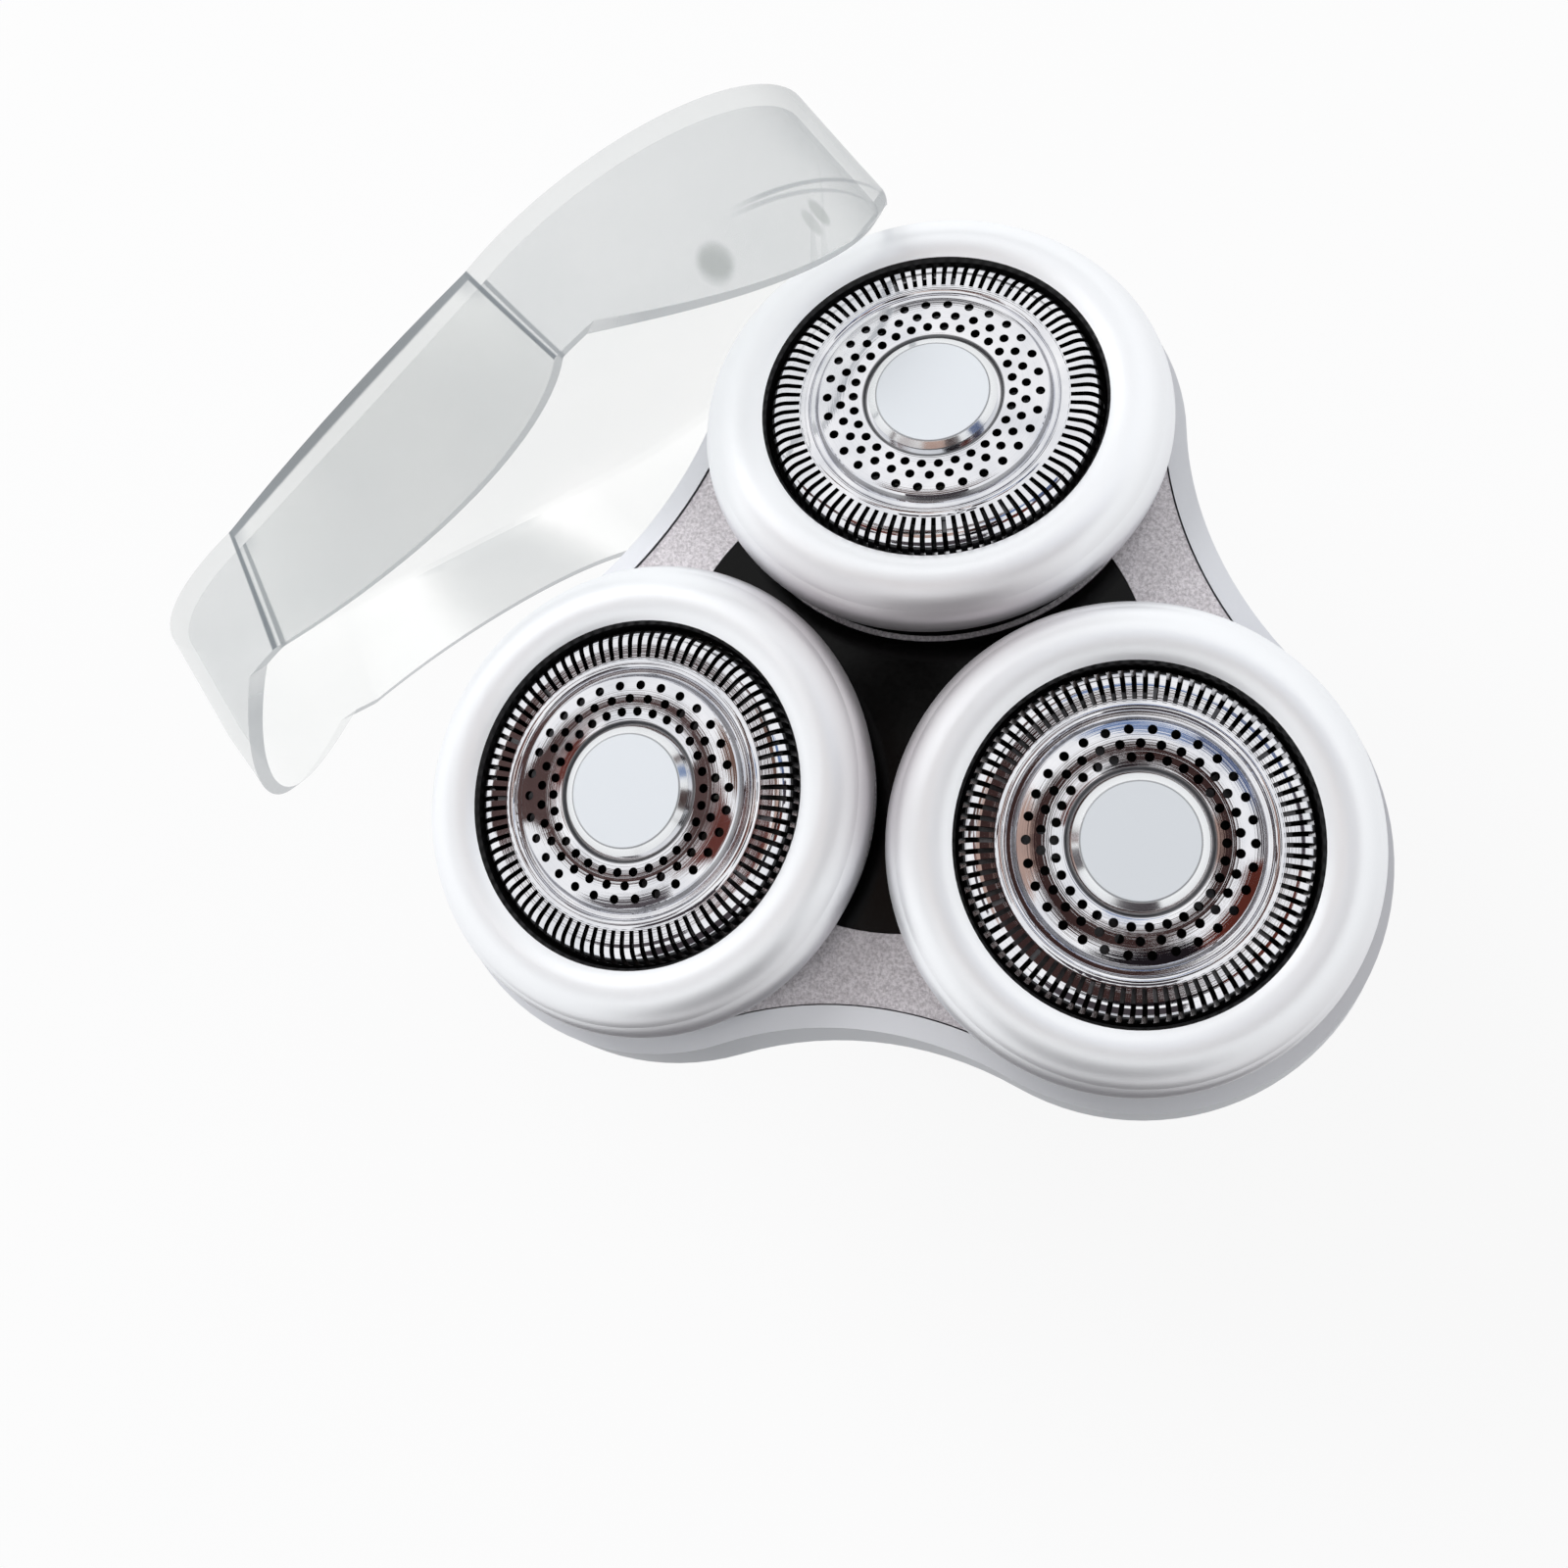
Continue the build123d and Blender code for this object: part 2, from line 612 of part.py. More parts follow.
def make_bush(z_low, length, flange_up):
    bush = tube(shaft_r + journal_gap, shaft_r + bush_t, z_low, z_low + length)
    flange_z = z_low + length if flange_up else z_low - bush_flange_t
    flange = tube(shaft_r + journal_gap, shaft_r + bush_t + bush_flange_w, flange_z, flange_z + bush_flange_t)
    return bush + flange


def make_shaft():
    """Central drive shaft with a flat for the gear and the coupling socket."""
    shaft = disc(shaft_r, shaft_bottom_z, shaft_top_z)
    for low, high in ((shaft_bottom_z, shaft_bottom_z + socket_h - 0.8), (gear_z, gear_z + gear_t)):
        shaft -= Pos(shaft_flat + 2, 0, (low + high) / 2) * Box(4, 10, high - low)
    return shaft


def make_drive_socket(shaft):
    """Coupling socket at the shaft's lower end, with a star recess for the handle's drive pin."""
    body = disc(socket_r, shaft_bottom_z - 0.6, shaft_bottom_z - 0.6 + socket_h)
    body = chamfer(body.edges().group_by(Axis.Z)[-1], 0.4)
    recess = disc(socket_star_r * 0.62, shaft_bottom_z - 2, shaft_bottom_z + 1.4)
    for k in range(3):
        recess += Rot(0, 0, 60 * k) * Pos(0, 0, shaft_bottom_z) * Box(2 * socket_star_r, 1.1, 2.8)
    return body - shaft - recess


def cap_outline(inset, at_top, z):
    """Cap outline: rim is a trefoil that dips between the lobes, closed face a rounded triangle."""
    radius = cap_lobe_r - inset - (cap_taper if at_top else 0)
    half_angle = cap_top_half_angle if at_top else cap_rim_half_angle
    dip = (cap_valley_top if at_top else cap_valley_rim) - inset
    edges = []
    for azimuth in head_azimuths.values():
        lobe = Vector(*polar(cap_lobe_distance, azimuth), z)
        start = lobe + Vector(*polar(radius, azimuth - half_angle), 0)
        middle = lobe + Vector(*polar(radius, azimuth), 0)
        end = lobe + Vector(*polar(radius, azimuth + half_angle), 0)
        lobe_after = Vector(*polar(cap_lobe_distance, azimuth + 120), z)
        next_start = lobe_after + Vector(*polar(radius, azimuth + 120 - half_angle), 0)
        edges.append(ThreePointArc(start, middle, end))
        edges.append(ThreePointArc(end, Vector(*polar(dip, azimuth + 60), z), next_start))
    return make_face(edges)


def make_cap():
    """Cap as it sits on the head: closed on top, open below, its rim reaching further on the lobes."""
    shells = []
    for inset in (0, cap_wall):
        rim = cap_outline(inset, False, cap_rim_z)
        top = cap_outline(inset, True, cap_top_z)
        shells.append(loft([rim, top], ruled=True) + extrude(rim, cap_lip, (0, 0, -1)))
    cap = shells[0] - (shells[1] & disc(60, 0, cap_top_z - cap_wall))
    half_width = cap_lobe_r * sin(radians(cap_lip_half_angle))
    lip_ends = (0, -half_width, cap_rim_z), (0, half_width, cap_rim_z)
    lip_face = make_face([
        ThreePointArc(lip_ends[0], (0, 0, cap_rim_z - cap_lip), lip_ends[1]),
        Line(lip_ends[1], lip_ends[0]),
    ])
    below = disc(60, 0, cap_rim_z)
    for azimuth in head_azimuths.values():
        below -= Rot(0, 0, azimuth) * extrude(lip_face, 50, (1, 0, 0))
    return cap - below


def placed_cap(cap):
    """Cap taken off: on its side, its closed face away from the head, resting on the surface."""
    centred = Pos(0, 0, -cap_rim_z) * cap
    turned = Rot(0, 0, cap_axis_azimuth) * Rot(0, 90 - cap_axis_rise, 0) * Rot(0, 0, cap_roll) * centred
    low = turned.bounding_box().min.Z
    return Pos(cap_x, cap_y, -low) * turned


# Fixed pieces of the head
nodes["head_housing"] = make_housing()
nodes["top_frame"] = make_top_frame()
nodes["centre_cover"] = centre_cover_blank(0, cover_t)
nodes["gear_plate"] = make_gear_plate()
nodes["gear_cover"] = make_gear_cover()
nodes["neck_housing"] = make_neck()
nodes["coupling_collar"] = make_collar()
nodes["neck_gasket"] = tube(gasket_r - gasket_w, gasket_r, neck_top_z - gasket_t, neck_top_z)
nodes["upper_bush"] = make_bush(gear_cover_z, gear_cover_t, True)
nodes["lower_bush"] = make_bush(bulkhead_z, bulkhead_t, True)
nodes["chassis_screws"] = Compound([
    Pos(*polar(chassis_screw_distance, a), 0) * screw(gear_cover_z + gear_cover_t, gear_plate_z - 2.6)
    for a in web_azimuths
])
nodes["neck_screws"] = Compound([
    Pos(*polar(neck_screw_distance, a + 60), 0) * screw(neck_top_z + floor_t, neck_top_z - 5)
    for a in web_azimuths
])

# Central drive
drive_shaft = make_shaft()
nodes["drive_shaft"] = drive_shaft
nodes["central_gear"] = involute_gear(central_teeth, gear_z, gear_z + gear_t) - drive_shaft
nodes["drive_socket"] = make_drive_socket(drive_shaft)

# The three ring heads with their spindles and gears
ring = make_ring()
chamber = make_chamber()
guard = make_guard()
badge = make_badge()
cutter = make_cutter()
cutter_hub = make_cutter_hub()
cutter -= cutter_hub
spring = make_spindle_spring()
driven_gear = make_driven_gear()
seal = tube(spindle_r + seal_gap, seal_r, gear_cover_z + gear_cover_t, gear_cover_z + gear_cover_t + seal_t)
for name, azimuth in head_azimuths.items():
    head = at_head(azimuth)
    upright = at_spindle(azimuth)
    nodes[f"ring_{name}"] = head * ring
    nodes[f"chamber_{name}"] = head * chamber
    nodes[f"guard_{name}"] = head * guard
    nodes[f"guard_disc_{name}"] = head * badge
    nodes[f"cutter_{name}"] = head * cutter
    nodes[f"cutter_hub_{name}"] = head * cutter_hub
    nodes[f"spindle_spring_{name}"] = upright * spring
    nodes[f"spindle_seal_{name}"] = upright * seal
    # The teeth of each driven gear stand between those of the central gear.
    along = azimuth * central_teeth / 360
    shift = round(along) - along
    phase = 180 + (0.5 - shift) * 360 / driven_teeth
    nodes[f"driven_gear_{name}"] = upright * Rot(0, 0, phase) * driven_gear
    nodes[f"spindle_{name}"] = upright * make_spindle(phase)

# Protective cap beside the head
nodes["protective_cap"] = placed_cap(make_cap())

for name, shape in nodes.items():
    export_step(shape, f"{parts_dir}/{name}.step")
print(len(nodes), "nodes; gear module", round(module, 4), "pivot height", round(pivot_height, 3))
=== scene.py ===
"""Looks for the rotary shaver head: materials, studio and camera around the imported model.

Lengths in the scene are metres, and lengths inside the materials are millimetres. Colours of
three numbers are screen colours, 0 to 255. A pair named ..._FADE says where a mask begins to
rise and where it is full.
"""
import json
import math

import bpy
from mathutils import Matrix, Vector


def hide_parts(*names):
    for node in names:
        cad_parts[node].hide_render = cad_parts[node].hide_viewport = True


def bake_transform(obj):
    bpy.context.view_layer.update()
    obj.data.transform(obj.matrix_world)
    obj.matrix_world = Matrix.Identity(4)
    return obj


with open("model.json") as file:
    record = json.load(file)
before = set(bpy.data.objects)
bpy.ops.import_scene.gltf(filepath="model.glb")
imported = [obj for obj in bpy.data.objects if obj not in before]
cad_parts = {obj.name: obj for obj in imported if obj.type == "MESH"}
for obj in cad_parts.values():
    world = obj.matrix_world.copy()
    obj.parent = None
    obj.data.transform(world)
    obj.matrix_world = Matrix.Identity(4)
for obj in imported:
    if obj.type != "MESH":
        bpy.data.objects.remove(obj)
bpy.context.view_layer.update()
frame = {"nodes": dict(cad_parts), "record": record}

MM = 0.001

# The ring heads, as the model has them, with their azimuths in degrees
RING_PLANE = 0.054
HEAD_DISTANCE = 0.01835
HEAD_TILT = math.radians(9.8)
HEADS = {"top": 90.0, "left": 210.0, "right": 330.0}

# Plastics
MOTTLE_SCALE = 0.12
LIT_TOP_FADE = (0.35, 0.7)              # how far a surface faces up, to get the paler top colour painted as light from above

# Guard: where it is painted dark as shade. Radii are from its axis, levels from its ring's plane
SLOT_WALL_FADE = (0.55, 0.8)        # how far a surface faces along the guard's circle
SLOT_BAND_FADE = (8.5, 8.7)
HOLE_WALL_FADE = (0.3, 0.5)         # how far a surface faces up
HOLE_BAND_START = (4.7, 4.8)
HOLE_BAND_END = (7.4, 7.5)
UNDERSIDE_FADE = (-0.4, -0.2)
SUNK_LEVEL_FADE = (-1.3, -0.9)
SUNK_BAND_FADE = (8.0, 8.2)
GUARD_LINES = ((7.50, 7.64, 0.5), (4.32, 4.56, 0.7))    # painted lines of shade: inner and outer radius, and how dark
GUARD_LINE_SOFT = 0.05
GUARD_SHADE = (20, 20, 22)

# Ring: its two painted shaded parts, and its inner wall painted dark as shade
SHADY_SIDE = (0.507, -0.803, 0)     # the side that the light reaches least
SHADY_FADE = (0.35, 0.95)
SHADY_SHARE = 0.25
TO_CENTRE_FADE = (0.55, 1.0)        # how far towards the product's middle a point lies
TO_CENTRE_BAND_FADE = (12.6, 15.2)
TO_CENTRE_SHARE = 0.6
RING_SHADE = (172, 162, 166)
INNER_WALL_FADE = (-0.85, -0.7)
INNER_WALL_SHADE = (16, 16, 17)
RING_LEVELS = (-3.2, 0.55)          # the lacquer's colours run between these, painted darker at the foot and paler on top as shade

# Disc: its colours run from its middle to this radius
DISC_REACH = 5.0

# The cap, taken off: where it lies and how its lobes end
CAP_AXIS_AZIMUTH = 132.5
CAP_AXIS_RISE = 10.8
CAP_ROLL = 1.5
CAP_X = -0.0276
CAP_Y = 0.0196
CAP_DEPTH = 0.0086
CAP_LOBE_DISTANCE = 18.1
CAP_CREASE_AT_RIM = 60.1
CAP_CREASE_AT_TOP = 67.5

# The cap's looks, with painted glow, light and shade. Levels are from its rim towards its closed
# face
CAP_ALPHA = 0.36                    # of each face, so a wall hides more than this
CAP_PAINTED_GLOW = 0.60                     # painted glow: light that the frosted plastic scatters from inside, given as emission
CAP_SHADE = 0.5                     # how far the same colour is held back where lamps light it
LOBE_FADE = (0.0, 0.01)
CREASE_FADE = (0.006, 0.016)
OUTER_FADE = (0.0, 0.3)
RIM_FACE_FADE = (0.72, 0.85)
RIM_LEVEL_FADE = (4.0, 5.0)
CLOSED_EDGE_FADE = (7.95, 8.15)
CLOSED_SIDE_FADE = (0.45, 0.6)
CORNER_LEVEL_FADE = (5.9, 8.3)
CORNER_PLACE_FADE = (-0.11, -0.02)
FLAT_FACE_FADE = (0.8, 0.95)

# The lobe nearer the head and its grip, with painted shade. Places along a lobe's arc run from -1
# to 1
GRIP_LOBE = "left"
GRIP_LOBE_FADE = (0.4, 0.55)
FAR_END_FADE = (0.15, 0.75)
FOLD_LEVEL = 0.7
FOLD_PLACE = -0.2
FOLD_BEND = 2.3
FOLD_WIDTH_FADE = (0.08, 0.26)
FOLD_END_FADE = (-0.22, 0.0)
SHADE_SPOTS = ((-0.34, -1.6, 0.07, 1.5), (0.14, -1.9, 0.035, 1.2))    # painted shade spots: place, level, half sizes
SHADE_SPOT_FADE = (0.3, 1.1)

# Studio
STAGE_CENTRE = Vector((0, 0, 0.05))
FLOOR_SIZE = 6
FLOOR_LEVEL = -0.00002
FLOOR_GLOW = 0.9                    # share of plain white in the floor where it is seen
BRIGHT_SIDE = (-0.75, 0.25, 0.6)
BRIGHT_SPREAD = (-0.7, 0.9)
SURROUND_DIM = 0.12
SURROUND_BRIGHT = 0.74
CARD_DISTANCE = 0.8
CARD_LIFT = 0.0005

# Cards: name, direction, width, height, colour and turn in degrees
CARDS = (
    ("card_low_back", (-0.20, 0.84, 0.50), 0.5, 0.13, (110, 108, 110), 5),
    ("card_high_back", (-0.10, 0.41, 0.90), 0.26, 0.10, (92, 72, 70), -10),
    ("card_left", (-0.72, 0.02, 0.69), 0.10, 0.46, (84, 66, 64), 10),
    ("card_left_red", (-0.37, -0.06, 0.93), 0.10, 0.24, (104, 58, 52), -30),
    ("card_left_pale", (-0.26, 0.11, 0.95), 0.14, 0.22, (118, 92, 82), 0),
    ("card_left_low", (-0.50, -0.28, 0.82), 0.20, 0.18, (86, 80, 84), 0),
    ("card_camera", (0.31, -0.28, 0.91), 0.24, 0.20, (30, 26, 30), 0),
    ("card_camera_red", (0.51, -0.11, 0.86), 0.20, 0.22, (92, 44, 36), 15),
    ("card_right", (0.60, 0.12, 0.79), 0.14, 0.24, (74, 68, 74), 0),
    ("card_middle", (0.20, -0.03, 0.98), 0.20, 0.15, (62, 44, 42), 20),
    ("card_middle_pale", (-0.05, -0.06, 0.99), 0.18, 0.26, (186, 158, 146), 0),
    ("card_blue", (0.20, 0.28, 0.94), 0.24, 0.10, (118, 140, 180), 15),
    ("card_blue_right", (0.44, 0.24, 0.87), 0.16, 0.15, (90, 104, 138), 30),
    ("card_side", (0.10, -0.86, 0.45), 0.75, 0.60, (70, 64, 68), 0),
    ("card_over", (-0.163, 0.257, 0.952), 0.16, 0.12, (20, 20, 22), 0),
)

# Lamps: name, place, diameter and watts
LAMPS = (
    ("key", (-0.46, 0.30, 0.62), 0.45, 5.0),
    ("fill", (0.44, 0.20, 0.60), 0.5, 1.3),
)

# Camera
LENS = 50.327
SENSOR = 36
CAMERA_OVER_RINGS = 0.13138472
CAMERA_X = 0.02245003
CAMERA_Y = -0.03550293
CAMERA_TURN = (0.23224693, 0.18534603, 0.13911703)
CAMERA_CLIP = 0.005


def linear(rgb):
    """Screen colour to the renderer's linear colour."""
    out = []
    for c in rgb:
        c /= 255
        out.append(c / 12.92 if c <= 0.04045 else ((c + 0.055) / 1.055) ** 2.4)
    return (*out, 1.0)


def out_and_across(head):
    """Two directions: from the middle out to a head, and across that."""
    a = math.radians(HEADS[head])
    return (math.cos(a), math.sin(a), 0), (-math.sin(a), math.cos(a), 0)


class Nodes:
    """A node tree with short calls for the nodes used here. A value is a number or an output."""

    def __init__(self, tree):
        self.nodes = tree.nodes
        self.links = tree.links
        self.nodes.clear()

    def add(self, kind, **settings):
        node = self.nodes.new(kind)
        for key, setting in settings.items():
            setattr(node, key, setting)
        return node

    def put(self, socket, value):
        """Links an input to an output, or sets it."""
        if isinstance(value, bpy.types.NodeSocket):
            self.links.new(value, socket)
        else:
            socket.default_value = value

    def fill(self, node, **values):
        """Puts values into a node's inputs by name, with _ for a space."""
        for key, value in values.items():
            self.put(node.inputs[key.replace("_", " ")], value)

    def math(self, operation, *values):
        node = self.add("ShaderNodeMath", operation=operation)
        for socket, value in zip(node.inputs, values):
            self.put(socket, value)
        return node.outputs[0]

    def chain(self, operation, *values):
        """Joins values by one operation, from left to right."""
        joined = values[0]
        for value in values[1:]:
            joined = self.math(operation, joined, value)
        return joined

    def product(self, *values):
        return self.chain("MULTIPLY", *values)

    def largest(self, *values):
        return self.chain("MAXIMUM", *values)

    def weigh(self, *parts):
        """The sum of values, each with its share."""
        return self.chain("ADD", *(self.product(value, share) for value, share in parts))

    def varied(self, value, amount, start):
        return self.math("ADD", self.product(value, amount), start)

    def inverse(self, value):
        return self.math("SUBTRACT", 1.0, value)

    def vector(self, operation, *values, result="Vector"):
        node = self.add("ShaderNodeVectorMath", operation=operation)
        for socket, value in zip(node.inputs, values):
            self.put(socket, value)
        return node.outputs[result]

    def dot(self, a, b):
        return self.vector("DOT_PRODUCT", a, b, result="Value")

    def combine(self, *values):
        node = self.add("ShaderNodeCombineXYZ")
        for socket, value in zip(node.inputs, values):
            self.put(socket, value)
        return node.outputs[0]

    def split(self, vector):
        node = self.add("ShaderNodeSeparateXYZ")
        self.put(node.inputs[0], vector)
        return list(node.outputs)

    def span(self, value, low, high, start=0.0, end=1.0, kind="LINEAR"):
        """Takes low to high over to start to end, and stays between them."""
        node = self.add("ShaderNodeMapRange", interpolation_type=kind)
        self.fill(node, Value=value, From_Min=low, From_Max=high, To_Min=start, To_Max=end)
        return node.outputs["Result"]

    def step(self, value, low, high):
        """0 below low, 1 above high, smooth between them."""
        return self.span(value, low, high, kind="SMOOTHSTEP")

    def below(self, value, low, high):
        """1 below low, 0 above high, smooth between them."""
        return self.inverse(self.step(value, low, high))

    def band(self, value, start, end):
        """1 between two fades."""
        return self.product(self.step(value, *start), self.below(value, *end))

    def seen(self):
        """1 for a ray that is seen or mirrored, 0 for one that only lights."""
        path = self.add("ShaderNodeLightPath")
        return self.largest(path.outputs["Is Camera Ray"], path.outputs["Is Transmission Ray"],
                            path.outputs["Is Glossy Ray"])


class Mat(Nodes):
    """A material with one principled shader."""

    def __init__(self, name):
        self.material = bpy.data.materials.new(name)
        self.material.use_nodes = True
        super().__init__(self.material.node_tree)
        self.out = self.add("ShaderNodeOutputMaterial")
        self.shader = self.add("ShaderNodeBsdfPrincipled")
        self.put(self.out.inputs["Surface"], self.shader.outputs[0])

    def shade(self, **values):
        self.fill(self.shader, **values)

    def placed(self, location=(0, 0, 0), rotation=(0, 0, 0)):
        """Object coordinates in millimetres, in a frame at that place."""
        mapping = self.add("ShaderNodeMapping", vector_type="TEXTURE")
        own = self.add("ShaderNodeTexCoord").outputs["Object"]
        self.fill(mapping, Vector=own, Location=location, Rotation=rotation, Scale=(MM,) * 3)
        return mapping.outputs["Vector"]

    def in_head(self, head):
        """Coordinates in a ring head's own frame: all, x, y, z, and the radius."""
        out, _across = out_and_across(head)
        v = self.placed((HEAD_DISTANCE * out[0], HEAD_DISTANCE * out[1], RING_PLANE),
                        (0, HEAD_TILT, math.radians(HEADS[head])))
        x, y, z = self.split(v)
        return v, x, y, z, self.vector("LENGTH", self.combine(x, y), result="Value")

    def normal(self, kind="Normal"):
        return self.add("ShaderNodeNewGeometry").outputs[kind]

    def facing(self, turn, normal):
        """A surface's direction in a turned frame, as three values."""
        return [self.dot(normal, tuple(turn.col[k])) for k in range(3)]

    def facing_in_head(self, head):
        turn = (Matrix.Rotation(math.radians(HEADS[head]), 3, "Z")
                @ Matrix.Rotation(HEAD_TILT, 3, "Y"))
        return self.facing(turn, self.normal("True Normal"))

    def noise(self, vector, scale, detail=2.0, roughness=0.5):
        node = self.add("ShaderNodeTexNoise")
        self.fill(node, Vector=vector, Scale=scale, Detail=detail, Roughness=roughness)
        return node.outputs["Fac"]

    def ramp(self, value, stops):
        """Colour ramp from stops: a position, and a colour or a plain level."""
        node = self.add("ShaderNodeValToRGB")
        elements = node.color_ramp.elements
        while len(elements) < len(stops):
            elements.new(0.5)
        for element, (position, look) in zip(elements, stops):
            element.position = position
            element.color = linear(look) if isinstance(look, tuple) else (look, look, look, 1)
        self.put(node.inputs["Fac"], value)
        return node.outputs["Color"]

    def grained(self, value, darker, colour):
        """A noise's two colours."""
        return self.ramp(value, [(0.3, darker), (0.7, colour)])

    def blend(self, factor, a, b):
        """Mixes two colours."""
        node = self.add("ShaderNodeMix", data_type="RGBA")
        for place, value in ((0, factor), (6, a), (7, b)):
            self.put(node.inputs[place], value)
        return node.outputs[2]

    def bump(self, height, distance):
        node = self.add("ShaderNodeBump")
        self.fill(node, Height=height, Distance=distance, Strength=1.0)
        return node.outputs["Normal"]


def moulded(name, colour, darker, grain, roughness, metallic=0.0, bump=0.00002, specular=0.5,
            top=None):
    """Moulded or lacquered plastic, grained and mottled; top is painted light on what faces up.
    """
    m = Mat(name)
    v = m.placed()
    fine = m.noise(v, grain, detail=3.0, roughness=0.6)
    broad = m.noise(v, MOTTLE_SCALE)
    base = m.grained(m.weigh((fine, 0.55), (broad, 0.45)), darker, colour)
    # Painted light: what faces up gets the paler top colour
    if top is not None:
        upward = m.dot(m.normal(), (0, 0, 1))
        base = m.blend(m.step(upward, *LIT_TOP_FADE), base, linear(top))
    m.shade(Base_Color=base, Roughness=m.varied(fine, 0.12, roughness - 0.06),
            Normal=m.bump(fine, bump), Metallic=metallic, Specular_IOR_Level=specular)
    return m.material


def sandy(name, colour, darker, roughness, metallic):
    """Lacquer with a sandy metallic speckle, as on the plate between the rings."""
    m = Mat(name)
    v = m.placed()
    speckle = m.noise(v, 4.5, detail=4.0, roughness=0.75)
    broad = m.noise(v, 0.15)
    rough = m.math("ADD", m.weigh((speckle, 0.25), (broad, 0.1)), roughness - 0.17)
    m.shade(Base_Color=m.ramp(speckle, [(0.36, darker), (0.62, colour)]), Roughness=rough,
            Normal=m.bump(speckle, 0.00003), Metallic=metallic)
    return m.material


def polished(name, head):
    """Polished steel guard with faint turning marks, painted shade in slots, holes and hollow."""
    m = Mat(name)
    v, x, y, z, r = m.in_head(head)
    nx, ny, nz = m.facing_in_head(head)
    along = m.math("SUBTRACT", m.product(x, ny), m.product(y, nx))
    along = m.math("ABSOLUTE", m.math("DIVIDE", along, r))
    # Painted shade: slot walls, hole walls, the underside and the sunk outer wall turn near black
    slot_wall = m.product(m.step(along, *SLOT_WALL_FADE), m.step(r, *SLOT_BAND_FADE))
    hole_wall = m.product(m.below(nz, *HOLE_WALL_FADE),
                          m.band(r, HOLE_BAND_START, HOLE_BAND_END))
    underside = m.below(nz, *UNDERSIDE_FADE)
    sunk = m.product(m.below(z, *SUNK_LEVEL_FADE), m.step(r, *SUNK_BAND_FADE))
    painted_shade = m.largest(slot_wall, hole_wall, underside, sunk)
    # Two thin rings of painted shade across the face
    for low, high, share in GUARD_LINES:
        line = m.band(r, (low - GUARD_LINE_SOFT, low), (high, high + GUARD_LINE_SOFT))
        painted_shade = m.largest(painted_shade, m.product(line, share))
    turning = m.add("ShaderNodeTexNoise", noise_dimensions="1D")
    m.fill(turning, W=r, Scale=9.0, Detail=3.0)
    marks = turning.outputs["Fac"]
    stain = m.noise(v, 0.35, detail=3.0)
    bright = m.grained(m.weigh((stain, 0.8), (marks, 0.2)), (214, 216, 222), (244, 244, 247))
    m.shade(Base_Color=m.blend(painted_shade, bright, linear(GUARD_SHADE)),
            Roughness=m.largest(m.varied(stain, 0.05, 0.015), m.product(painted_shade, 0.5)),
            Normal=m.bump(marks, 0.000004), Metallic=1.0)
    return m.material


def ring_silver(name, head):
    """Pearl silver lacquer with painted shade: pinker and darker away from the light, dark
    inside.
    """
    m = Mat(name)
    v, x, y, z, r = m.in_head(head)
    turned_away = m.dot(m.normal(), SHADY_SIDE)
    to_centre = m.product(m.math("DIVIDE", x, r), -1.0)
    shady = m.largest(
        m.product(m.step(turned_away, *SHADY_FADE), SHADY_SHARE),
        m.product(m.step(to_centre, *TO_CENTRE_FADE), m.step(r, *TO_CENTRE_BAND_FADE),
                  TO_CENTRE_SHARE))
    nx, ny, _nz = m.facing_in_head(head)
    outward = m.math("DIVIDE", m.math("ADD", m.product(x, nx), m.product(y, ny)), r)
    inner_wall = m.below(outward, *INNER_WALL_FADE)
    fine = m.noise(v, 14.0, detail=3.0, roughness=0.6)
    # Painted shade and light: darker towards the ring's foot, paler on top
    level = m.math("ADD", m.span(z, *RING_LEVELS), m.varied(fine, 0.08, -0.04))
    lacquer = m.ramp(level, [(0.0, (216, 217, 221)), (0.12, (241, 243, 247)),
                             (0.35, (244, 246, 250)), (0.7, (248, 250, 253)),
                             (1.0, (246, 248, 251))])
    lacquer = m.blend(shady, lacquer, linear(RING_SHADE))
    # The inner wall is painted near black as shade in the gap by the guard
    m.shade(Base_Color=m.blend(inner_wall, lacquer, linear(INNER_WALL_SHADE)),
            Metallic=m.product(m.inverse(inner_wall), 0.7), Normal=m.bump(fine, 0.000004),
            Roughness=0.40, Coat_Weight=0.05, Coat_Roughness=0.2)
    return m.material


def disc_silver(name, head):
    """Plain silver disc with a painted bright bevel and a thin painted line of shade inside it.
    """
    m = Mat(name)
    part = m.math("DIVIDE", m.in_head(head)[-1], DISC_REACH)
    middle = (206, 210, 215)
    # Painted highlight and shade: a dark line at the bevel's foot, then bright fading to grey
    # over it
    m.shade(Base_Color=m.ramp(part, [(0.0, middle), (0.715, middle), (0.73, (120, 122, 126)),
                                     (0.745, (236, 238, 240)), (1.0, (205, 207, 210))]),
            Roughness=m.ramp(part, [(0.0, 0.42), (0.72, 0.42), (0.75, 0.12), (1.0, 0.12)]),
            Metallic=m.ramp(part, [(0.0, 0.1), (0.72, 0.1), (0.75, 1.0), (1.0, 1.0)]))
    return m.material


def metal(name, colour, roughness):
    """Ground or turned metal with a fine grain."""
    m = Mat(name)
    fine = m.noise(m.placed(), 6.0, detail=4.0)
    darker = tuple(round(c * 0.85) for c in colour)
    m.shade(Base_Color=m.grained(fine, darker, colour), Roughness=m.varied(fine, 0.15, roughness),
            Normal=m.bump(fine, 0.000006), Metallic=1.0)
    return m.material


